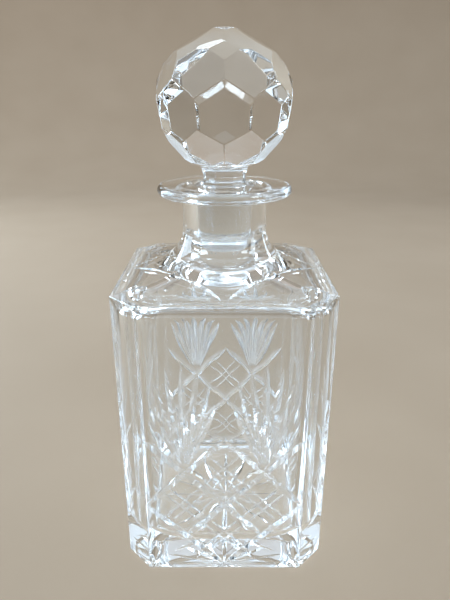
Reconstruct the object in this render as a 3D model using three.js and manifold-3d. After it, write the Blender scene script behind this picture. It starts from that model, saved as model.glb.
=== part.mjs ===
// Cut crystal decanter: a square bottle with flat-cut corners, and a ball stopper cut in facets.
// Millimetres, +Z up. The origin is the centre of the underside, and the front wall faces -Y.
import * as THREE from "three";
import { mergeVertices } from "three/addons/utils/BufferGeometryUtils.js";
import Module from "manifold-3d";

const wasm = await Module();
wasm.setup();

// ---- Driving dimensions of the bottle ----
const HALF_WIDTH = 50; // the square body is 100 mm across its flat walls
const CORNER_LEG = 12; // each corner is cut off flat, this far along both walls
const CORNER_DISTANCE = (2 * HALF_WIDTH - CORNER_LEG) / Math.SQRT2; // axis to a corner's flat
const BASE_BEVEL = 1.5;
const SHOULDER_Z = 145; // crisp edge where the walls end
const WALL_SLOPE = THREE.MathUtils.degToRad(12); // shoulder facet above each wall
const CORNER_SLOPE = THREE.MathUtils.degToRad(14); // small facet above each corner
const NECK_RADIUS = 20;
const NECK_BOTTOM_Z = 165;
const FLARE_RADIUS = 36; // where the neck's foot runs into the shoulder
const LIP_RADIUS = 31.6;
const LIP_THICKNESS = 5;
const LIP_TOP_Z = 187.5;
const LIP_FILLET = 2;

// ---- Driving dimensions of the hollow ----
const WALL = 6.5;
const FLOOR_Z = 12;
const FLOOR_FILLET = 9;
const FLOOR_CORNER = 28; // the floor's outline is rounder than the walls'
const HOLLOW_HALF = HALF_WIDTH - WALL;
const HOLLOW_CORNER = 16; // radius of the upright corners inside
const HOLLOW_SHOULDER_Z = 136; // where the inner walls begin to close in
const HOLLOW_SHOULDER_RADIUS = 7.5;
const HOLLOW_NECK_STATIONS = [
  [22, 147],
  [16.5, 149.3],
  [13.6, 152.2],
]; // half width and height of the inner throat, below the ground bore

// ---- Driving dimensions of the stopper ----
const PLUG_BOTTOM_Z = 155.5;
const PLUG_TOP_Z = 187;
const PLUG_BOTTOM_RADIUS = 12.1;
const PLUG_TOP_RADIUS = 13.4;
const PLUG_ROUND = 2; // rounded lower edge of the plug
const PLUG_GAP = 0.35; // clearance between the plug and the bore it is ground to
const STEM_ACROSS_FLATS = 19.4;
const STEM_FLATS_TOP_Z = 193; // the eight flats end here, under the cove that carries the ball
const COVE_TOP_Z = 197.4; // just inside the ball
const COVE_TOP_RADIUS = 15.4;
const BALL_CENTRE_Z = 222.85;
const BALL_TABLE_DISTANCE = 29.8; // flat top of the ball, above its centre
// Rows of flat facets round the ball: latitude and first azimuth in degrees, distance from centre.
const BALL_FACETS_PER_ROW = 8;
const BALL_ROWS = [
  { latitude: -72.7, azimuth: 0, distance: 29 },
  { latitude: -40.2, azimuth: 22.5, distance: 28.78 },
  { latitude: -8.5, azimuth: 0, distance: 28.3 },
  { latitude: 25.8, azimuth: 22.5, distance: 28.98 },
  { latitude: 48.9, azimuth: 0, distance: 29.49 },
  { latitude: 60.8, azimuth: 22.5, distance: 28.61 },
];

// ---- Driving dimensions of the cutting ----
const GROOVE_HALF_ANGLE = THREE.MathUtils.degToRad(47); // the wheel's V edge, from its middle plane
const GROOVE_RISE = 0.5; // how far a cutter stands out of the glass
const LATTICE_STEP = 18.75; // half the diagonal of one large diamond
const LATTICE_BOTTOM_Z = 4.2;
const LATTICE_DEPTH = 1.5;
const TWIN_LINE_SPACING = 3.8;
const TWIN_LINE_DEPTH = 0.6;
const TWIN_LINE_REACH = 0.42; // share of a half diagonal
const FAN_LENGTHS = [41, 51, 57, 59, 57, 51, 41];
const FAN_STEP = THREE.MathUtils.degToRad(7.3);
const FAN_START = 7; // the rays begin this far from the fan's own point
const FAN_DEPTH = 1.5;
const STAR_RAYS = 16;
const STAR_RADIUS = 38;
const STAR_DEPTH = 1.2;
const SHOULDER_LEAF_DEPTH = 1.5;

const QUARTER_TURNS = [0, 1, 2, 3];
const ROUND_SEGMENTS = 48;
const Z_AXIS = new THREE.Vector3(0, 0, 1);

// ---- Solids from three.js geometry ----
function toSolid(geometry) {
  const bare = geometry.index ? geometry.toNonIndexed() : geometry.clone();
  bare.deleteAttribute("normal");
  bare.deleteAttribute("uv");
  const merged = mergeVertices(bare, 1e-4);
  return new wasm.Manifold(
    new wasm.Mesh({
      numProp: 3,
      vertProperties: merged.attributes.position.array,
      triVerts: new Uint32Array(merged.index.array),
    }),
  );
}

function toGeometry(solid) {
  const mesh = solid.getMesh();
  const geometry = new THREE.BufferGeometry();
  geometry.setAttribute("position", new THREE.BufferAttribute(mesh.vertProperties, 3));
  geometry.setIndex(new THREE.BufferAttribute(mesh.triVerts, 1));
  geometry.computeVertexNormals();
  return geometry;
}

const cutAll = (solid, cutters) => cutters.reduce((left, cutter) => left.subtract(cutter), solid);

// A closed skin through rings of equal count, counter-clockwise seen from beyond the last ring.
function loft(rings) {
  const positions = [];
  const triangle = (a, b, c) => [a, b, c].forEach((p) => positions.push(p.x, p.y, p.z));
  const count = rings[0].length;
  for (let r = 0; r + 1 < rings.length; r++) {
    for (let i = 0; i < count; i++) {
      const j = (i + 1) % count;
      triangle(rings[r][i], rings[r][j], rings[r + 1][j]);
      triangle(rings[r][i], rings[r + 1][j], rings[r + 1][i]);
    }
  }
  const first = rings[0];
  const last = rings[rings.length - 1];
  for (let i = 1; i + 1 < count; i++) {
    triangle(first[0], first[i + 1], first[i]);
    triangle(last[0], last[i], last[i + 1]);
  }
  const geometry = new THREE.BufferGeometry();
  geometry.setAttribute("position", new THREE.Float32BufferAttribute(positions, 3));
  return geometry;
}

// Everything on the outer side of the plane with this normal, at this distance from a point.
function halfSpace(normal, distance, from = new THREE.Vector3()) {
  const size = 400;
  const box = new THREE.BoxGeometry(size, size, size);
  box.translate(0, 0, size / 2);
  const turn = new THREE.Quaternion().setFromUnitVectors(Z_AXIS, normal);
  box.applyQuaternion(turn);
  const centre = from.clone().addScaledVector(normal, distance);
  return toSolid(box.translate(centre.x, centre.y, centre.z));
}

// A lathe solid about the Z axis from [radius, z] points that start and end on the axis.
function turned(profile) {
  const points = profile.map(([radius, z]) => new THREE.Vector2(radius, z));
  const geometry = new THREE.LatheGeometry(points, ROUND_SEGMENTS);
  return toSolid(geometry.rotateX(Math.PI / 2));
}

// Points on an arc of a profile, from one angle to another in degrees, ends included.
function arc(centre, radius, from, to, steps) {
  return Array.from({ length: steps + 1 }, (_, i) => {
    const angle = THREE.MathUtils.degToRad(from + ((to - from) * i) / steps);
    return [centre[0] + radius * Math.cos(angle), centre[1] + radius * Math.sin(angle)];
  });
}

// ---- The wheel-cut grooves ----
// A V groove from one point to another on a flat face: deepest at the share `peak` of its length,
// and running out to a sharp tip at both ends.
function groove({ from, to, normal, depth, peak = 0.5, flat = false }) {
  const along = to.clone().sub(from);
  const sideways = new THREE.Vector3().crossVectors(normal, along).normalize();
  const shares = flat ? [0.05, 0.95] : [0.15, 0.4, 0.65, 0.88];
  const power = Math.log(0.5) / Math.log(peak);
  const depthAt = (share) => (flat ? depth : 4 * depth * share ** power * (1 - share ** power));
  const section = (share, deep) => {
    const middle = from.clone().addScaledVector(along, share);
    const spread = (deep + GROOVE_RISE) * Math.tan(GROOVE_HALF_ANGLE);
    const top = middle.clone().addScaledVector(normal, GROOVE_RISE);
    return [
      top.clone().addScaledVector(sideways, -spread),
      middle.clone().addScaledVector(normal, -deep),
      top.clone().addScaledVector(sideways, spread),
    ];
  };
  const tip = 0.002 - GROOVE_RISE; // each end is a speck just clear of the glass
  const overrun = 0.04;
  const rings = [section(-overrun, tip)];
  shares.forEach((share) => rings.push(section(share, depthAt(share))));
  rings.push(section(1 + overrun, tip));
  const solid = toSolid(loft(rings));
  return solid.volume() > 0 ? solid : toSolid(loft(rings.map((ring) => ring.reverse())));
}

// Repeats cutters, drawn for the front, on all four sides of the bottle.
function onFourSides(cutters) {
  return QUARTER_TURNS.flatMap((turn) => cutters.map((cutter) => cutter.rotate([0, 0, 90 * turn])));
}

// A groove on the front wall between [x, z] points.
function wallGroove(from, to, options) {
  return groove({
    from: new THREE.Vector3(from[0], -HALF_WIDTH, from[1]),
    to: new THREE.Vector3(to[0], -HALF_WIDTH, to[1]),
    normal: new THREE.Vector3(0, -1, 0),
    ...options,
  });
}

// Crossing mitres at 45 degrees that make a trellis of diamonds over the lower half of a wall.
function latticeCutters() {
  const crossing = (column, row) => [column * LATTICE_STEP, LATTICE_BOTTOM_Z + row * LATTICE_STEP];
  const options = { depth: LATTICE_DEPTH, flat: true };
  return [-1, 1].flatMap((side) => [
    wallGroove(crossing(0, 0), crossing(side * 2, 2), options),
    wallGroove(crossing(-side, 1), crossing(side * 2, 4), options),
    wallGroove(crossing(-side * 2, 2), crossing(0, 4), options),
  ]);
}

// Two fine parallel lines each way across the middle of a diamond.
function twinLineCutters() {
  const step = LATTICE_STEP;
  const centres = [
    [0, 3],
    [0, 1],
    [-1, 2],
    [1, 2],
  ];
  const reach = TWIN_LINE_REACH * step;
  return centres.flatMap(([column, row]) =>
    [-1, 1].flatMap((lean) =>
      [-0.5, 0.5].map((share) => {
        const shift = (share * TWIN_LINE_SPACING) / Math.SQRT2;
        const x = column * step + shift;
        const z = LATTICE_BOTTOM_Z + row * step - lean * shift;
        return wallGroove([x - reach, z - lean * reach], [x + reach, z + lean * reach], {
          depth: TWIN_LINE_DEPTH,
          flat: true,
        });
      }),
    ),
  );
}

// Two fans of long pointed cuts that spread up the wall from the trellis's outer crossings.
function fanCutters() {
  const middle = (FAN_LENGTHS.length - 1) / 2;
  return [-1, 1].flatMap((side) =>
    FAN_LENGTHS.map((length, i) => {
      const angle = (i - middle) * FAN_STEP;
      const foot = [side * LATTICE_STEP, LATTICE_BOTTOM_Z + 3 * LATTICE_STEP];
      const at = (reach) => [foot[0] + reach * Math.sin(angle), foot[1] + reach * Math.cos(angle)];
      return wallGroove(at(FAN_START), at(length), { depth: FAN_DEPTH, peak: 0.62 });
    }),
  );
}

// Pairs of leaf cuts on the shoulder facet: a V that opens from the middle of its edge, and a
// short leaf beside each corner.
function shoulderCutters() {
  const normal = new THREE.Vector3(0, -Math.sin(WALL_SLOPE), Math.cos(WALL_SLOPE));
  const onShoulder = (x, y) =>
    new THREE.Vector3(x, y, SHOULDER_Z + (HALF_WIDTH + y) * Math.tan(WALL_SLOPE));
  const leaf = (from, to) =>
    groove({ from: onShoulder(...from), to: onShoulder(...to), normal, depth: SHOULDER_LEAF_DEPTH });
  return [-1, 1].flatMap((side) => [
    leaf([side * 0.5, -47.5], [side * 19, -28]),
    leaf([side * 34, -34], [side * 36, -46]),
  ]);
}

// A star of pointed cuts on the underside, from near its centre outwards.
function starCutters() {
  return Array.from({ length: STAR_RAYS }, (_, i) => {
    const angle = (i * 2 * Math.PI) / STAR_RAYS;
    const at = (radius) => new THREE.Vector3(radius * Math.cos(angle), radius * Math.sin(angle), 0);
    const normal = new THREE.Vector3(0, 0, -1);
    return groove({ from: at(1), to: at(STAR_RADIUS), normal, depth: STAR_DEPTH, peak: 0.6 });
  });
}

// ---- The bottle ----
// The eight corners of the body's cross-section, drawn in by an inset.
function bodyRing(inset, z) {
  const half = HALF_WIDTH - inset;
  const flat = (CORNER_DISTANCE - inset) * Math.SQRT2 - half;
  const corners = [
    [half, -flat],
    [half, flat],
  ];
  return QUARTER_TURNS.flatMap((turn) =>
    corners.map(([x, y]) => new THREE.Vector3(x, y, z).applyAxisAngle(Z_AXIS, (turn * Math.PI) / 2)),
  );
}

function bodySolid() {
  const prism = toSolid(loft([bodyRing(BASE_BEVEL, 0), bodyRing(0, BASE_BEVEL), bodyRing(0, 175)]));
  const facets = QUARTER_TURNS.flatMap((turn) => [
    { azimuth: turn * 90, reach: HALF_WIDTH, slope: WALL_SLOPE },
    { azimuth: turn * 90 + 45, reach: CORNER_DISTANCE, slope: CORNER_SLOPE },
  ]);
  return cutAll(
    prism,
    facets.map(({ azimuth, reach, slope }) => {
      const outwards = new THREE.Vector3(1, 0, 0).applyAxisAngle(Z_AXIS, THREE.MathUtils.degToRad(azimuth));
      const edge = outwards.clone().multiplyScalar(reach).setZ(SHOULDER_Z);
      const normal = outwards.clone().multiplyScalar(Math.sin(slope)).setZ(Math.cos(slope));
      return halfSpace(normal, 0, edge);
    }),
  );
}

// The neck's outside: a hollow curve out of the shoulder, a straight neck and a wide round lip.
function neckSolid() {
  const foot = new THREE.SplineCurve(
    [
      [FLARE_RADIUS, 147.6],
      [30.5, 151],
      [25.5, 155],
      [21.6, 160],
      [NECK_RADIUS, NECK_BOTTOM_Z],
    ].map(([radius, z]) => new THREE.Vector2(radius, z)),
  );
  const rim = LIP_THICKNESS / 2;
  const lipBottom = LIP_TOP_Z - LIP_THICKNESS;
  return turned([
    [0, HOLLOW_SHOULDER_Z],
    [FLARE_RADIUS, HOLLOW_SHOULDER_Z],
    ...foot.getPoints(8).map((point) => [point.x, point.y]),
    ...arc([NECK_RADIUS + LIP_FILLET, lipBottom - LIP_FILLET], LIP_FILLET, 180, 90, 3),
    ...arc([LIP_RADIUS - rim, lipBottom + rim], rim, -90, 90, 6),
    [0, LIP_TOP_Z],
  ]);
}

// A rounded square inside the bottle: [half width, height, corner radius].
function hollowRing([half, z, corner]) {
  const stepsPerCorner = 8;
  const radius = Math.min(corner, half);
  const centre = half - radius;
  return QUARTER_TURNS.flatMap((turn) =>
    Array.from({ length: stepsPerCorner }, (_, i) => {
      const angle = ((i + 0.5) / stepsPerCorner) * (Math.PI / 2);
      const [x, y] = [centre + radius * Math.cos(angle), centre + radius * Math.sin(angle)];
      return new THREE.Vector3(x, y, z).applyAxisAngle(Z_AXIS, (turn * Math.PI) / 2);
    }),
  );
}

const plugRadiusAt = (z) =>
  THREE.MathUtils.mapLinear(z, PLUG_BOTTOM_Z, PLUG_TOP_Z, PLUG_BOTTOM_RADIUS, PLUG_TOP_RADIUS);

function hollowSolid() {
  const boreBottom = PLUG_BOTTOM_Z - 0.5;
  const mouth = LIP_TOP_Z - 1;
  const floor = arc([HOLLOW_HALF - FLOOR_FILLET, FLOOR_Z + FLOOR_FILLET], FLOOR_FILLET, -90, 0, 4);
  const shoulderCentre = [HOLLOW_HALF - HOLLOW_SHOULDER_RADIUS, HOLLOW_SHOULDER_Z];
  const shoulder = arc(shoulderCentre, HOLLOW_SHOULDER_RADIUS, 0, 78, 4);
  const floorCorner = (z) =>
    THREE.MathUtils.mapLinear(z, FLOOR_Z, FLOOR_Z + FLOOR_FILLET, FLOOR_CORNER, HOLLOW_CORNER);
  const stations = [
    ...floor.map(([half, z]) => [half, z, floorCorner(z)]),
    ...shoulder.map(([half, z]) => [half, z, HOLLOW_CORNER]),
    ...HOLLOW_NECK_STATIONS.map(([half, z]) => [half, z, Math.max(half - 2, HOLLOW_CORNER)]),
    ...[
      [plugRadiusAt(boreBottom) + PLUG_GAP, boreBottom],
      [plugRadiusAt(mouth) + PLUG_GAP, mouth],
      [plugRadiusAt(LIP_TOP_Z) + PLUG_GAP + 1, LIP_TOP_Z + 0.2],
      [plugRadiusAt(LIP_TOP_Z) + PLUG_GAP + 1, LIP_TOP_Z + 5],
    ].map(([radius, z]) => [radius, z, radius]),
  ];
  return toSolid(loft(stations.map(hollowRing)));
}

function bottle() {
  const glass = bodySolid().add(neckSolid()).subtract(hollowSolid());
  const cutters = [
    ...onFourSides([...latticeCutters(), ...twinLineCutters(), ...fanCutters(), ...shoulderCutters()]),
    ...starCutters(),
  ];
  return cutAll(glass, cutters);
}

// ---- The stopper ----
function ballSolid() {
  const centre = new THREE.Vector3(0, 0, BALL_CENTRE_Z);
  const block = new THREE.BoxGeometry(80, 80, 80).translate(0, 0, BALL_CENTRE_Z);
  const planes = BALL_ROWS.flatMap(({ latitude, azimuth, distance }) =>
    Array.from({ length: BALL_FACETS_PER_ROW }, (_, i) => {
      const polar = THREE.MathUtils.degToRad(90 - latitude);
      const around = THREE.MathUtils.degToRad(azimuth + (i * 360) / BALL_FACETS_PER_ROW);
      const normal = new THREE.Vector3().setFromSphericalCoords(1, polar, around);
      normal.set(normal.x, -normal.z, normal.y); // three.js measures from its own Y-up axes
      return halfSpace(normal, distance, centre);
    }),
  );
  planes.push(halfSpace(Z_AXIS, BALL_TABLE_DISTANCE, centre));
  return cutAll(toSolid(block), planes);
}

// Blocks that leave eight flats on the round stem, below the cove.
function stemFlats() {
  const [thickness, width] = [10, 30];
  const height = STEM_FLATS_TOP_Z - PLUG_TOP_Z + 5;
  return Array.from({ length: 8 }, (_, i) => {
    const block = new THREE.BoxGeometry(thickness, width, height);
    block.translate((STEM_ACROSS_FLATS + thickness) / 2, 0, STEM_FLATS_TOP_Z - height / 2);
    return toSolid(block.rotateZ((i * Math.PI) / 4));
  });
}

function stopper() {
  const plug = turned([
    [0, PLUG_BOTTOM_Z],
    ...arc([PLUG_BOTTOM_RADIUS - PLUG_ROUND, PLUG_BOTTOM_Z + PLUG_ROUND], PLUG_ROUND, -90, 0, 4),
    [PLUG_TOP_RADIUS, PLUG_TOP_Z],
    [0, PLUG_TOP_Z],
  ]);
  const stemRadius = STEM_ACROSS_FLATS / 2 / Math.cos(Math.PI / 8);
  const coveWidth = COVE_TOP_RADIUS - stemRadius;
  const coveHeight = COVE_TOP_Z - STEM_FLATS_TOP_Z;
  const cove = arc([0, 0], 1, 180, 90, 4).map(([across, up]) => [
    stemRadius + coveWidth * (1 + across),
    STEM_FLATS_TOP_Z + coveHeight * up,
  ]);
  const neck = turned([[0, PLUG_TOP_Z - 3], [stemRadius, PLUG_TOP_Z - 3], ...cove, [0, COVE_TOP_Z + 2]]);
  return plug.add(cutAll(neck, stemFlats())).add(ballSolid());
}

// ---- The assembly ----
const crystal = new THREE.MeshStandardMaterial({ color: 0xe6ecf0, roughness: 0.03, metalness: 0 });
const groundCrystal = new THREE.MeshStandardMaterial({ color: 0xdfe6ea, roughness: 0.05, metalness: 0 });

function piece(name, solid, material) {
  const mesh = new THREE.Mesh(toGeometry(solid), material);
  mesh.name = name;
  return mesh;
}

const decanter = new THREE.Group();
decanter.add(piece("decanter_bottle", bottle(), crystal));
decanter.add(piece("ball_stopper", stopper(), groundCrystal));

export default decanter;
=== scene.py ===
"""The looks of the cut crystal decanter: high-resolution glass, a pale floor and soft light.

Everything is in metres in the CAD frame: +Z up, origin under the middle of the base, front -Y.
"""
import math

import bmesh
import bpy
import numpy as np
from mathutils import Matrix, Vector, noise


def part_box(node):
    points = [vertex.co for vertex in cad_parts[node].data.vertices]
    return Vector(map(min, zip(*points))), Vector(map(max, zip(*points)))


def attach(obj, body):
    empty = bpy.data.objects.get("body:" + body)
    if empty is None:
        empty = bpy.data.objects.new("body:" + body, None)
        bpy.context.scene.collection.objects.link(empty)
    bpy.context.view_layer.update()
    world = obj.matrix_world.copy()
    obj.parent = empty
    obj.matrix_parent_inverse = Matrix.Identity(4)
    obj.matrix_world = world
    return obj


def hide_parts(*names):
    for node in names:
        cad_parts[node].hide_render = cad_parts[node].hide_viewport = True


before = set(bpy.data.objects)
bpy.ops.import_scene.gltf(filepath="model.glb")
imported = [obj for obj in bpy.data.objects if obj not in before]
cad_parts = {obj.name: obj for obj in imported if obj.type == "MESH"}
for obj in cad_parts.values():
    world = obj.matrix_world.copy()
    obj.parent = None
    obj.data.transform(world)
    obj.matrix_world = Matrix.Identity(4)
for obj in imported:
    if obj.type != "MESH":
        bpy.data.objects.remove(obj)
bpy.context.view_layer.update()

# ---- Driving dimensions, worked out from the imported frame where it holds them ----
_, bottle_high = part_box("decanter_bottle")
stopper_low, stopper_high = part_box("ball_stopper")

HALF_WIDTH = bottle_high.x
CORNER_LEG = 0.012
CORNER_DISTANCE = (2 * HALF_WIDTH - CORNER_LEG) / math.sqrt(2)
BASE_BEVEL = 0.0015
EDGE_POLISH = 0.0003  # width that polishing takes off each crisp cut edge
CUT_EDGE_RADIUS = 0.00025  # roundness that acid polishing leaves on the edges of the wheel cuts
SHOULDER_Z = 0.145
WALL_SLOPE = math.radians(12)
CORNER_SLOPE = math.radians(14)

NECK_RADIUS = 0.020
NECK_BOTTOM_Z = 0.165
FLARE_RADIUS = 0.036
LIP_TOP_Z = bottle_high.z
LIP_RADIUS = 0.0316
LIP_THICKNESS = 0.005
LIP_FILLET = 0.002

WALL = 0.0065
HOLLOW_HALF = HALF_WIDTH - WALL
HOLLOW_CORNER = 0.016
FLOOR_Z = 0.012
FLOOR_FILLET = 0.012
FLOOR_CORNER = 0.028
HOLLOW_SHOULDER_Z = 0.136
HOLLOW_SHOULDER_RADIUS = 0.0075
HOLLOW_THROAT = [(0.022, 0.147), (0.0165, 0.1493), (0.0136, 0.1522)]
ROUND_THROAT_HALF = 0.017  # the throat is round where it is narrower than this
ROOF_ROUNDING = 0.006  # how much rounder the hollow's outline gets as its roof closes in
MOUTH_EDGE = 0.0013  # radius of the mouth's polished inner edge
UNEVENNESS = 0.0005  # of the blown walls inside

PLUG_BOTTOM_Z = stopper_low.z
PLUG_TOP_Z = 0.187
PLUG_BOTTOM_RADIUS = 0.0121
PLUG_TOP_RADIUS = 0.0134
PLUG_ROUND = 0.002
PLUG_GAP = 0.00035
STEM_ACROSS_FLATS = 0.0194
STEM_FLATS_TOP_Z = 0.193
COVE_TOP_Z = 0.1974
COVE_TOP_RADIUS = 0.0154
BALL_CENTRE = Vector((0, 0, 0.22285))
BALL_TABLE_DISTANCE = stopper_high.z - BALL_CENTRE.z
BALL_FACETS_PER_ROW = 8
BALL_ROWS = [  # latitude and first azimuth in degrees, distance of the facet from the centre
    (-72.7, 0, 0.029),
    (-40.2, 22.5, 0.02878),
    (-8.5, 0, 0.0283),
    (25.8, 22.5, 0.02898),
    (48.9, 0, 0.02949),
    (60.8, 22.5, 0.02861),
]

GROOVE_HALF_ANGLE = math.radians(47)
GROOVE_RISE = 0.0005  # how far a cutter stands out of the glass
WHEEL_RADIUS = 0.060  # the cutting wheel, whose roundness sets how a cut runs out
LATTICE_STEP = 0.01875
LATTICE_BOTTOM_Z = 0.0042
LATTICE_DEPTH = 0.0015
LATTICE_RUN_OUT = 0.6  # share of the wheel's full run-out, as the wheel is lifted at the end
TWIN_SPACING = 0.0040
TWIN_DEPTH = 0.0006
TWIN_REACH = 0.45  # share of a half diagonal
TWIN_RUN_OUT = 0.8  # share of its reach over which a fine line runs out
FAN_LENGTHS = [0.041, 0.051, 0.057, 0.059, 0.057, 0.051, 0.041]
FAN_STEP = math.radians(7.3)
FAN_START = 0.005
FAN_DEPTH = 0.0015
FAN_WIDEST = 0.62  # share of a ray's length where it is deepest
FINE_RAY_SHARE = 0.62
FINE_RAY_DEPTH = 0.0008
STAR_RAYS = 16
STAR_RADIUS = 0.038
STAR_DEPTH = 0.0012
STAR_START = 0.001
STAR_WIDEST = 0.6
LEAF_DEPTH = 0.0014
CUT_FACE_DEPTH = 0.00005  # a face whose middle is deeper than this in the glass was cut
LEAF_BY_CORNER = [(0.034, -0.034), (0.036, -0.046)]  # x and y of its two tips
LEAF_LINE = [  # x and y of a long shoulder leaf, from its point to the corner's ridge
    (0, -0.0478), (0.004, -0.0418), (0.0085, -0.0365), (0.014, -0.0315), (0.0195, -0.0275),
    (0.0242, -0.0242)]
LEAF_DEPTHS = [  # share of the leaf's length, and depth there; its point starts clear of the glass
    (0, -0.00045), (0.15, 0.0006), (0.4, 0.0011), (0.7, 0.0004), (0.85, 0.0002), (1, 0.0001)]

WAVE_HEIGHT = 0.0002  # of the slight waves in the surface of the glass
FLOOR_GAP = 0.0001  # between the glass and the floor, so that their faces never coincide
FINISH_MARGIN = 0.0002  # slack when a face is told by its distance from the axis
STEEPEST_JOINT_FACE = 0.2  # upright part of the normal, up to which a face is a wall of the joint

ROUND_SEGMENTS = 160
SHARP_ANGLE = math.radians(15)

# ---- Studio ----
OBJECT_MIDDLE = (0, 0, 0.12)
SKY_SLOPE = (0.45, -0.25, 0.6)  # the sky's gain in tone to either side, to the back and upwards
CAMERA_PLACE = (0.00069, -0.24946, 0.22584)
CAMERA_PITCH = math.radians(21.32)  # looking down
CAMERA_YAW = math.radians(0.10)
CAMERA_LENS_MM = 31.42


# ---- Mesh tools ----
def piece(name, vertices, faces):
    """A new object in the scene from lists of corners and faces."""
    mesh = bpy.data.meshes.new(name)
    mesh.from_pydata([tuple(v) for v in vertices], [], [tuple(f) for f in faces])
    mesh.update()
    made = bpy.data.objects.new(name, mesh)
    bpy.context.scene.collection.objects.link(made)
    return made


def loft(name, rings):
    """A closed skin through rings of equal count, each an array of points."""
    rings = [np.asarray(ring, float) for ring in rings]
    count = len(rings[0])
    faces = []
    for r in range(len(rings) - 1):
        for i in range(count):
            j = (i + 1) % count
            faces.append((r * count + i, r * count + j, (r + 1) * count + j, (r + 1) * count + i))
    last = (len(rings) - 1) * count
    faces.append(tuple(reversed(range(count))))
    faces.append(tuple(range(last, last + count)))
    return outward(piece(name, np.concatenate(rings), faces))


def outward(made):
    """Turns every face of a closed mesh to face out."""
    work = bmesh.new()
    work.from_mesh(made.data)
    bmesh.ops.recalc_face_normals(work, faces=work.faces)
    if work.calc_volume(signed=True) < 0:
        bmesh.ops.reverse_faces(work, faces=work.faces)
    work.to_mesh(made.data)
    work.free()
    return made


def turned(name, profile, segments=ROUND_SEGMENTS):
    """A solid of revolution about Z from (radius, z) points; the ends are closed flat."""
    angles = np.linspace(0, 2 * math.pi, segments, endpoint=False)
    rings = [[(r * math.cos(a), r * math.sin(a), z) for a in angles] for r, z in profile]
    return loft(name, rings)


def arc(centre, radius, start, end, steps):
    """Points on an arc of a profile between two angles in degrees."""
    angles = np.radians(np.linspace(start, end, steps + 1))
    return [(centre[0] + radius * math.cos(a), centre[1] + radius * math.sin(a)) for a in angles]


def smooth_line(points, steps):
    """A Catmull-Rom curve through profile points."""
    padded = [points[0], *points, points[-1]]
    line = []
    for i in range(1, len(padded) - 2):
        a, b, c, d = (np.array(p) for p in padded[i - 1 : i + 3])
        for t in np.linspace(0, 1, steps, endpoint=False):
            line.append(0.5 * (2 * b + (c - a) * t + (2 * a - 5 * b + 4 * c - d) * t**2
                               + (3 * b - a - 3 * c + d) * t**3))
    return [tuple(p) for p in line] + [points[-1]]


def block_cut_by_planes(name, low, high, planes, polish):
    """A block cut down by planes, each (point, outward normal), with its edges polished."""
    work = bmesh.new()
    bmesh.ops.create_cube(work, size=1)
    size = Vector(high) - Vector(low)
    bmesh.ops.transform(work, verts=work.verts, matrix=Matrix.Diagonal((*size, 1)))
    bmesh.ops.translate(work, verts=work.verts, vec=(Vector(low) + Vector(high)) / 2)
    for point, normal in planes:
        bmesh.ops.bisect_plane(
            work, geom=work.verts[:] + work.edges[:] + work.faces[:],
            plane_co=point, plane_no=normal, clear_outer=True, dist=1e-7)
        rim = [edge for edge in work.edges if edge.is_boundary]
        if rim:
            bmesh.ops.holes_fill(work, edges=rim, sides=0)
    bmesh.ops.remove_doubles(work, verts=work.verts, dist=2e-5)
    if polish:
        bmesh.ops.bevel(work, geom=work.edges[:], offset=polish, segments=1,
                        affect="EDGES", profile=0.5, clamp_overlap=True)
    bmesh.ops.recalc_face_normals(work, faces=work.faces)
    mesh = bpy.data.meshes.new(name)
    work.to_mesh(mesh)
    work.free()
    made = bpy.data.objects.new(name, mesh)
    bpy.context.scene.collection.objects.link(made)
    return made


def boolean(target, operands, operation):
    """Joins or cuts target with every operand, and removes the operands."""
    group = bpy.data.collections.new("operands")
    for operand in operands:
        group.objects.link(operand)
    modifier = target.modifiers.new("boolean", "BOOLEAN")
    modifier.operation = operation
    modifier.operand_type = "COLLECTION"
    modifier.collection = group
    modifier.solver = "MANIFOLD"
    depsgraph = bpy.context.evaluated_depsgraph_get()
    mesh = bpy.data.meshes.new_from_object(target.evaluated_get(depsgraph))
    target.modifiers.clear()
    target.data = mesh
    for operand in operands:
        bpy.data.objects.remove(operand)
    bpy.data.collections.remove(group)
    return target


def quarter_turns(vertices):
    """The same points on each of the four sides."""
    return [np.asarray(vertices) @ np.array(Matrix.Rotation(turn * math.pi / 2, 3, "Z")).T
            for turn in range(4)]


# ---- Wheel-cut grooves ----
def groove_rings(start, end, normal, depth, widest=0.5, run=None):
    """Sections of a V cut from start to end on a flat face. The cut is deepest at the share
    `widest` of its length, or is level between two run-outs of length `run`."""
    start, end, normal = (np.array(v, float) for v in (start, end, normal))
    along = end - start
    length = np.linalg.norm(along)
    sideways = np.cross(normal, along / length)
    first = run or widest * length
    final = run or (1 - widest) * length
    fractions = np.linspace(0, 1, 9)[1:]
    places = [*(first * fractions), *(length - final * fractions[::-1])]
    if not run:
        places.pop(len(fractions))

    def depth_at(place):
        share = min(1, place / first, (length - place) / final)
        return depth * (1 - (1 - share) ** 2)

    def section(place, deep):
        middle = start + along * (place / length)
        spread = (deep + GROOVE_RISE) * math.tan(GROOVE_HALF_ANGLE)
        top = middle + normal * GROOVE_RISE
        return [top - sideways * spread, middle - normal * deep, top + sideways * spread]

    lead = 0.01 * length
    tip = 2e-6 - GROOVE_RISE
    rings = [section(-lead - first * GROOVE_RISE / (2 * depth), tip)]
    rings += [section(place, depth_at(place)) for place in places[:-1]]
    rings.append(section(length + lead + final * GROOVE_RISE / (2 * depth), tip))
    return rings


def run_out(depth):
    """Length over which a round wheel leaves the glass from this depth."""
    return math.sqrt(2 * WHEEL_RADIUS * depth)


def wall_groove(start, end, depth, **options):
    """Sections of a cut on the front wall between (x, z) points."""
    at = [(p[0], -HALF_WIDTH, p[1]) for p in (start, end)]
    return groove_rings(*at, (0, -1, 0), depth, **options)


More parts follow.
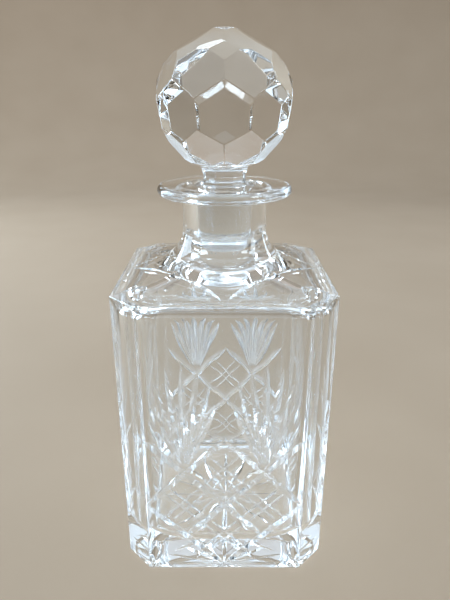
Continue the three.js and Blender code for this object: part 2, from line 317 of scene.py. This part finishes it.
def lattice_grooves():
    def crossing(column, row):
        return column * LATTICE_STEP, LATTICE_BOTTOM_Z + row * LATTICE_STEP

    cuts = []
    for side in (-1, 1):
        for ends in (((0, 0), (2 * side, 2)), ((-side, 1), (2 * side, 4)), ((-2 * side, 2), (0, 4))):
            cuts.append(wall_groove(crossing(*ends[0]), crossing(*ends[1]), LATTICE_DEPTH,
                                    run=run_out(LATTICE_DEPTH) * LATTICE_RUN_OUT))
    return cuts


def twin_grooves():
    cuts = []
    reach = TWIN_REACH * LATTICE_STEP
    for column, row in ((0, 3), (0, 1), (-1, 2), (1, 2)):
        for lean in (-1, 1):
            for side in (-0.5, 0.5):
                shift = side * TWIN_SPACING / math.sqrt(2)
                x = column * LATTICE_STEP + shift
                z = LATTICE_BOTTOM_Z + row * LATTICE_STEP - lean * shift
                cuts.append(wall_groove((x - reach, z - lean * reach), (x + reach, z + lean * reach),
                                        TWIN_DEPTH, run=reach * TWIN_RUN_OUT))
    return cuts


def fan_grooves():
    cuts = []
    middle = (len(FAN_LENGTHS) - 1) / 2
    for side in (-1, 1):
        foot = Vector((side * LATTICE_STEP, LATTICE_BOTTOM_Z + 3 * LATTICE_STEP))

        def ray(place, length, depth):
            angle = (place - middle) * FAN_STEP
            heading = Vector((math.sin(angle), math.cos(angle)))
            return wall_groove(foot + FAN_START * heading, foot + length * heading, depth,
                               widest=FAN_WIDEST)

        cuts += [ray(i, length, FAN_DEPTH) for i, length in enumerate(FAN_LENGTHS)]
        cuts += [ray(i + 0.5, FINE_RAY_SHARE * FAN_LENGTHS[i], FINE_RAY_DEPTH)
                 for i in range(len(FAN_LENGTHS) - 1)]
    return cuts


def shoulder_grooves():
    """On each shoulder facet, two leaves that open from the middle of its edge and run on round
    the neck's foot as a thin line, and a short leaf beside each corner."""
    normal = np.array((0, -math.sin(WALL_SLOPE), math.cos(WALL_SLOPE)))

    def on_shoulder(x, y):
        return x, y, SHOULDER_Z + (HALF_WIDTH + y) * math.tan(WALL_SLOPE)

    cuts = []
    for side in (-1, 1):
        line = smooth_line([(side * x, y) for x, y in LEAF_LINE], 6)
        middles = np.array([on_shoulder(*place) for place in line])
        shares = np.linspace(0, 1, len(line))
        depths = np.interp(shares, *zip(*LEAF_DEPTHS))
        headings = np.gradient(middles, axis=0)
        sideways = np.cross(normal, headings)
        sideways /= np.linalg.norm(sideways, axis=1, keepdims=True)
        rings = []
        for middle, aside, deep in zip(middles, sideways, depths):
            spread = (deep + GROOVE_RISE) * math.tan(GROOVE_HALF_ANGLE)
            top = middle + normal * GROOVE_RISE
            rings.append([top - aside * spread, middle - normal * deep, top + aside * spread])
        cuts.append(rings)
        tips = [on_shoulder(side * x, y) for x, y in LEAF_BY_CORNER]
        cuts.append(groove_rings(*tips, normal, LEAF_DEPTH))
    return cuts


def star_grooves():
    cuts = []
    for i in range(STAR_RAYS):
        angle = i * 2 * math.pi / STAR_RAYS
        heading = Vector((math.cos(angle), math.sin(angle), 0))
        cuts.append(groove_rings(STAR_START * heading, STAR_RADIUS * heading, (0, 0, -1),
                                 STAR_DEPTH, widest=STAR_WIDEST))
    return cuts


# ---- Bottle ----
def outward_at(azimuth, slope=0.0):
    """Unit vector that points out at an azimuth, tipped up from the horizontal by the slope."""
    return Vector((math.cos(azimuth) * math.cos(slope), math.sin(azimuth) * math.cos(slope),
                   math.sin(slope)))


def body_planes():
    """Every flat of the uncut body, each as a point on it and its outward normal."""
    planes = []
    for turn in range(4):
        for azimuth, reach, slope in (
            (turn * math.pi / 2, HALF_WIDTH, WALL_SLOPE),
            ((turn + 0.5) * math.pi / 2, CORNER_DISTANCE, CORNER_SLOPE),
        ):
            edge = reach * outward_at(azimuth)
            planes.append((edge, outward_at(azimuth)))
            planes.append((edge + Vector((0, 0, SHOULDER_Z)), outward_at(azimuth, math.pi / 2 - slope)))
            planes.append((edge + Vector((0, 0, BASE_BEVEL)), outward_at(azimuth, -math.pi / 4)))
    return planes


def body():
    return block_cut_by_planes("body", (-0.06, -0.06, 0), (0.06, 0.06, 0.175), body_planes(),
                               EDGE_POLISH)


def neck():
    foot = smooth_line([(FLARE_RADIUS, 0.1476), (0.0305, 0.151), (0.0255, 0.155), (0.0216, 0.160),
                        (NECK_RADIUS, NECK_BOTTOM_Z)], 8)
    rim = LIP_THICKNESS / 2
    lip_bottom = LIP_TOP_Z - LIP_THICKNESS
    return turned("neck", [
        (FLARE_RADIUS, HOLLOW_SHOULDER_Z),
        *foot,
        *arc((NECK_RADIUS + LIP_FILLET, lip_bottom - LIP_FILLET), LIP_FILLET, 180, 90, 12),
        *arc((LIP_RADIUS - rim, lip_bottom + rim), rim, -90, 90, 32),
    ])


def hollow():
    """The space inside, with the slight unevenness of blown glass."""
    corner_steps, wall_steps = 24, 20

    def plug_radius(z):
        share = (z - PLUG_BOTTOM_Z) / (PLUG_TOP_Z - PLUG_BOTTOM_Z)
        return PLUG_BOTTOM_RADIUS + share * (PLUG_TOP_RADIUS - PLUG_BOTTOM_RADIUS)

    def unevenness(point):
        slow = noise.noise(Vector((point.x * 40, point.y * 40, point.z * 14)))
        streaks = noise.noise(Vector((point.x * 160, point.y * 160, point.z * 4)))
        return slow + streaks

    def ring(half, z, corner, wobble=0.0):
        corner = min(corner, half)
        centre = half - corner
        outline = [(half, centre * share) for share in np.linspace(-1, 1, wall_steps + 1)[:-1]]
        outline += [(centre + corner * math.cos(angle), centre + corner * math.sin(angle))
                    for angle in (np.arange(corner_steps) + 0.5) / corner_steps * math.pi / 2]
        points = []
        for turn in range(4):
            for x, y in outline:
                point = Matrix.Rotation(turn * math.pi / 2, 3, "Z") @ Vector((x, y, z))
                points.append(point + wobble * unevenness(point) * point.normalized().xy.to_3d())
        return points

    floor_arc = arc((HOLLOW_HALF - FLOOR_FILLET, FLOOR_Z + FLOOR_FILLET), FLOOR_FILLET, -90, 0, 14)
    rings = [ring(half, z, FLOOR_CORNER + (HOLLOW_CORNER - FLOOR_CORNER) * (z - FLOOR_Z) / FLOOR_FILLET)
             for half, z in floor_arc]
    wall_bottom = floor_arc[-1][1]
    for z in np.linspace(wall_bottom, HOLLOW_SHOULDER_Z, 40)[1:-1]:
        rings.append(ring(HOLLOW_HALF, z, HOLLOW_CORNER, UNEVENNESS))
    shoulder_arc = arc((HOLLOW_HALF - HOLLOW_SHOULDER_RADIUS, HOLLOW_SHOULDER_Z),
                       HOLLOW_SHOULDER_RADIUS, 0, 78, 16)
    throat_bottom = (plug_radius(PLUG_BOTTOM_Z - 0.0005) + PLUG_GAP, PLUG_BOTTOM_Z - 0.0005)
    throat = smooth_line([shoulder_arc[-1], *HOLLOW_THROAT, throat_bottom], 8)[1:]
    for half, z in [*shoulder_arc, *throat]:
        closing = (HOLLOW_HALF - half) / (HOLLOW_HALF - HOLLOW_CORNER)
        corner = HOLLOW_CORNER + closing * ROOF_ROUNDING
        rings.append(ring(half, z, corner if half > ROUND_THROAT_HALF else half))
    mouth = LIP_TOP_Z - MOUTH_EDGE
    bore_radius = plug_radius(mouth) + PLUG_GAP
    edge = arc((bore_radius + MOUTH_EDGE, mouth), MOUTH_EDGE, 180, 100, 6)
    beyond = (edge[-1][0], LIP_TOP_Z + 0.003)
    rings += [ring(radius, z, radius) for radius, z in [*edge, beyond]]
    return loft("hollow", rings)


def cutters():
    front = [*lattice_grooves(), *twin_grooves(), *fan_grooves(), *shoulder_grooves()]
    made = [loft("cutter", np.split(side, len(rings)))
            for rings in front for side in quarter_turns(np.concatenate(rings))]
    return made + [loft("cutter", rings) for rings in star_grooves()]


def bottle():
    glass = boolean(body(), [neck()], "UNION")
    glass = boolean(glass, [hollow()], "DIFFERENCE")
    glass = boolean(glass, cutters(), "DIFFERENCE")
    glass.name = "crystal_bottle"
    return glass


# ---- Stopper ----
def ball():
    planes = []
    for latitude, first_azimuth, distance in BALL_ROWS:
        for i in range(BALL_FACETS_PER_ROW):
            azimuth = math.radians(first_azimuth - 90 + i * 360 / BALL_FACETS_PER_ROW)
            normal = outward_at(azimuth, math.radians(latitude))
            planes.append((BALL_CENTRE + distance * normal, normal))
    up = Vector((0, 0, 1))
    planes.append((BALL_CENTRE + BALL_TABLE_DISTANCE * up, up))
    half = 0.04
    return block_cut_by_planes("ball", BALL_CENTRE - Vector((half,) * 3),
                               BALL_CENTRE + Vector((half,) * 3), planes, EDGE_POLISH)


def stem():
    """An eight-sided stem, and above it the round cove that carries the ball."""
    corner = STEM_ACROSS_FLATS / 2 / math.cos(math.pi / 8)
    width = COVE_TOP_RADIUS - corner
    height = COVE_TOP_Z - STEM_FLATS_TOP_Z
    cove = [(corner + width * (1 + across), STEM_FLATS_TOP_Z + height * up)
            for across, up in arc((0, 0), 1, 180, 90, 16)]
    made = turned("stem", [(corner, PLUG_TOP_Z - 0.003), *cove, (0.001, COVE_TOP_Z + 0.002)])
    return boolean(made, [stem_flat(i * math.pi / 4) for i in range(8)], "DIFFERENCE")


def stem_flat(azimuth):
    """A block that leaves one flat on the stem."""
    turn = Matrix.Rotation(azimuth, 3, "Z")
    near = STEM_ACROSS_FLATS / 2
    far, half = near + 0.01, 0.015
    outline = [(near, -half), (far, -half), (far, half), (near, half)]
    return loft("flat", [[turn @ Vector((x, y, z)) for x, y in outline]
                         for z in (PLUG_TOP_Z - 0.005, STEM_FLATS_TOP_Z)])


def plug():
    return turned("plug", [
        *arc((PLUG_BOTTOM_RADIUS - PLUG_ROUND, PLUG_BOTTOM_Z + PLUG_ROUND), PLUG_ROUND, -90, 0, 12),
        (PLUG_TOP_RADIUS, PLUG_TOP_Z),
    ])


def stopper():
    glass = boolean(ball(), [stem(), plug()], "UNION")
    glass.name = "crystal_stopper"
    return glass


# ---- Materials ----
def crystal(name, roughness, grain, bump, clearness=1.0):
    """Clear lead crystal. Fine noise gives the surface its handling marks and slight waves, and
    sharp edges are shaded as slightly round."""
    material = bpy.data.materials.new(name)
    material.use_nodes = True
    nodes, links = material.node_tree.nodes, material.node_tree.links
    shader = nodes["Principled BSDF"]
    shader.inputs["Base Color"].default_value = (0.962, 0.982, 1.0, 1)
    shader.inputs["Transmission Weight"].default_value = clearness
    shader.inputs["IOR"].default_value = 1.545
    place = nodes.new("ShaderNodeTexCoord")
    marks = nodes.new("ShaderNodeTexNoise")
    marks.inputs["Scale"].default_value = grain
    marks.inputs["Detail"].default_value = 4
    links.new(place.outputs["Object"], marks.inputs["Vector"])
    spread = nodes.new("ShaderNodeMapRange")
    spread.inputs["To Min"].default_value = roughness[0]
    spread.inputs["To Max"].default_value = roughness[1]
    links.new(marks.outputs["Fac"], spread.inputs["Value"])
    links.new(spread.outputs["Result"], shader.inputs["Roughness"])
    waves = nodes.new("ShaderNodeBump")
    waves.inputs["Strength"].default_value = bump
    waves.inputs["Distance"].default_value = WAVE_HEIGHT
    links.new(marks.outputs["Fac"], waves.inputs["Height"])
    rounding = nodes.new("ShaderNodeBevel")
    rounding.inputs["Radius"].default_value = CUT_EDGE_RADIUS
    links.new(rounding.outputs["Normal"], waves.inputs["Normal"])
    links.new(waves.outputs["Normal"], shader.inputs["Normal"])
    return material


POLISHED = crystal("polished_crystal", (0.0, 0.012), 260, 0.006)
BLOWN = crystal("blown_crystal", (0.0, 0.02), 90, 0.03)
GROUND = crystal("ground_crystal", (0.03, 0.09), 1800, 0.05)
CUT = crystal("wheel_cut_crystal", (0.03, 0.10), 700, 0.03, clearness=0.92)
FINISHES = [POLISHED, BLOWN, GROUND, CUT]


def floor_material():
    material = bpy.data.materials.new("pale_floor")
    material.use_nodes = True
    nodes, links = material.node_tree.nodes, material.node_tree.links
    shader = nodes["Principled BSDF"]
    shader.inputs["Roughness"].default_value = 0.9
    place = nodes.new("ShaderNodeTexCoord")
    mottle = nodes.new("ShaderNodeTexNoise")
    mottle.inputs["Scale"].default_value = 9
    links.new(place.outputs["Object"], mottle.inputs["Vector"])
    tone = nodes.new("ShaderNodeValToRGB")
    tone.color_ramp.elements[0].color = (0.25, 0.18, 0.12, 1)
    tone.color_ramp.elements[1].color = (0.285, 0.21, 0.145, 1)
    links.new(mottle.outputs["Fac"], tone.inputs["Fac"])
    links.new(tone.outputs["Color"], shader.inputs["Base Color"])
    return material


def finish_surface(made):
    """Smooth shading with crisp cuts, and the finish of each face by where it lies."""
    mesh = made.data
    mesh.shade_smooth()
    mesh.set_sharp_from_angle(angle=SHARP_ANGLE)
    mesh.materials.clear()
    for material in FINISHES:
        mesh.materials.append(material)
    joint_radius = PLUG_TOP_RADIUS + PLUG_GAP + FINISH_MARGIN
    planes = body_planes() + [(Vector(), Vector((0, 0, -1)))]
    for face in mesh.polygons:
        x, y, z = face.center
        upright = abs(face.normal.z) < STEEPEST_JOINT_FACE
        facing_in = x * face.normal.x + y * face.normal.y < 0
        depth = min((point - face.center).dot(normal) for point, normal in planes)
        finish = POLISHED
        if PLUG_BOTTOM_Z < z < PLUG_TOP_Z - MOUTH_EDGE and math.hypot(x, y) < joint_radius and upright:
            finish = GROUND
        elif facing_in and max(abs(x), abs(y)) < HOLLOW_HALF + 2 * UNEVENNESS and z < PLUG_BOTTOM_Z:
            finish = BLOWN
        elif CUT_FACE_DEPTH < depth < 2 * LATTICE_DEPTH:
            finish = CUT
        face.material_index = FINISHES.index(finish)


# ---- The object ----
for made, body_name, node, slot in (
    (bottle(), "bottle", "decanter_bottle", "bottle_crystal"),
    (stopper(), "stopper", "ball_stopper", "stopper_crystal"),
):
    finish_surface(made)
    made.visible_shadow = False  # light passes through clear glass
    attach(made, body_name)
    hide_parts(node)

# ---- Floor, light and camera ----
def studio_floor():
    """A pale floor that curves up all round into a plain wall."""
    wall_radius, fillet, height = 1.7, 0.6, 1.0
    profile = [(0.001, 0), (0.3, 0), *arc((wall_radius - fillet, fillet), fillet, -90, 0, 32),
               (wall_radius, height)]
    angles = np.linspace(0, 2 * math.pi, 96, endpoint=False)
    vertices = [(r * math.cos(a), r * math.sin(a), z) for r, z in profile for a in angles]
    count = len(angles)
    faces = [(row * count + i, row * count + (i + 1) % count,
              (row + 1) * count + (i + 1) % count, (row + 1) * count + i)
             for row in range(len(profile) - 1) for i in range(count)]
    made = piece("floor", vertices, [*faces, tuple(reversed(range(count)))])
    made.data.shade_smooth()
    made.location.z = -FLOOR_GAP
    made.data.materials.append(floor_material())
    return made


studio_floor()


def area_light(name, place, target, size, radiance, colour):
    """A soft panel, as bright as its radiance, that lights the scene but isn't seen directly."""
    data = bpy.data.lights.new(name, "AREA")
    data.shape = "RECTANGLE"
    data.size, data.size_y = size
    data.energy = radiance * math.pi * size[0] * size[1]
    data.color = colour
    light = bpy.data.objects.new(name, data)
    light.location = place
    light.visible_camera = False
    light.rotation_euler = (Vector(target) - Vector(place)).to_track_quat("-Z", "Y").to_euler()
    bpy.context.scene.collection.objects.link(light)


def studio_world():
    """Soft light from all round: warm and dim low down behind, cool and bright at the sides and
    above."""
    world = bpy.data.worlds.new("studio")
    world.use_nodes = True
    nodes, links = world.node_tree.nodes, world.node_tree.links
    background = nodes["Background"]
    place = nodes.new("ShaderNodeTexCoord")
    parts = nodes.new("ShaderNodeSeparateXYZ")
    links.new(place.outputs["Generated"], parts.inputs["Vector"])
    side = nodes.new("ShaderNodeMath")
    side.operation = "ABSOLUTE"
    links.new(parts.outputs["X"], side.inputs[0])
    heading = nodes.new("ShaderNodeCombineXYZ")
    links.new(side.outputs["Value"], heading.inputs["X"])
    links.new(parts.outputs["Y"], heading.inputs["Y"])
    links.new(parts.outputs["Z"], heading.inputs["Z"])
    brightness = nodes.new("ShaderNodeVectorMath")
    brightness.operation = "DOT_PRODUCT"
    brightness.inputs[1].default_value = SKY_SLOPE
    links.new(heading.outputs["Vector"], brightness.inputs[0])
    tone = nodes.new("ShaderNodeValToRGB")
    tone.color_ramp.interpolation = "EASE"
    tone.color_ramp.elements[0].position = 0.05
    tone.color_ramp.elements[0].color = (0.32, 0.26, 0.20, 1)
    tone.color_ramp.elements[1].position = 0.65
    tone.color_ramp.elements[1].color = (0.74, 0.88, 1.0, 1)
    links.new(brightness.outputs["Value"], tone.inputs["Fac"])
    links.new(tone.outputs["Color"], background.inputs["Color"])
    background.inputs["Strength"].default_value = 1.4
    bpy.context.scene.world = world


studio_world()
for name, place, target, size, radiance, colour in (
    ("soft_box_left", (-0.95, 0.40, 0.42), (-0.10, 0.30, 0.02), (0.60, 0.60), 7, (0.58, 0.79, 1.0)),
    ("strip_right", (1.0, -0.16, 0.56), OBJECT_MIDDLE, (0.26, 0.70), 6, (0.70, 0.86, 1.0)),
    ("strip_back_left", (-0.80, 0.60, 0.42), OBJECT_MIDDLE, (0.12, 0.70), 9, (0.70, 0.86, 1.0)),
    ("strip_back_right", (0.80, 0.60, 0.42), OBJECT_MIDDLE, (0.10, 0.70), 8, (0.70, 0.86, 1.0)),
    ("window_left", (-0.95, -0.55, 0.95), OBJECT_MIDDLE, (0.40, 0.40), 16, (0.70, 0.86, 1.0)),
    ("window_right", (0.95, -0.60, 0.95), OBJECT_MIDDLE, (0.30, 0.30), 12, (0.78, 0.90, 1.0)),
    ("panel_above", (-0.30, 0.60, 1.35), OBJECT_MIDDLE, (0.5, 0.25), 5, (0.80, 0.91, 1.0)),
    ("wall_wash", (-0.40, 0.45, 1.30), (-0.55, 1.7, 0.25), (0.9, 0.25), 16, (0.80, 0.90, 1.0)),
):
    area_light(name, place, target, size, radiance, colour)

camera_data = bpy.data.cameras.new("camera")
camera_data.sensor_width = 36
camera_data.lens = CAMERA_LENS_MM
camera = bpy.data.objects.new("camera", camera_data)
camera.location = CAMERA_PLACE
camera.rotation_euler = (math.pi / 2 - CAMERA_PITCH, 0, CAMERA_YAW)
bpy.context.scene.collection.objects.link(camera)
bpy.context.scene.camera = camera

scene = bpy.context.scene
scene.view_settings.view_transform = "Standard"
scene.cycles.max_bounces = 24
scene.cycles.transmission_bounces = 24
scene.cycles.glossy_bounces = 12
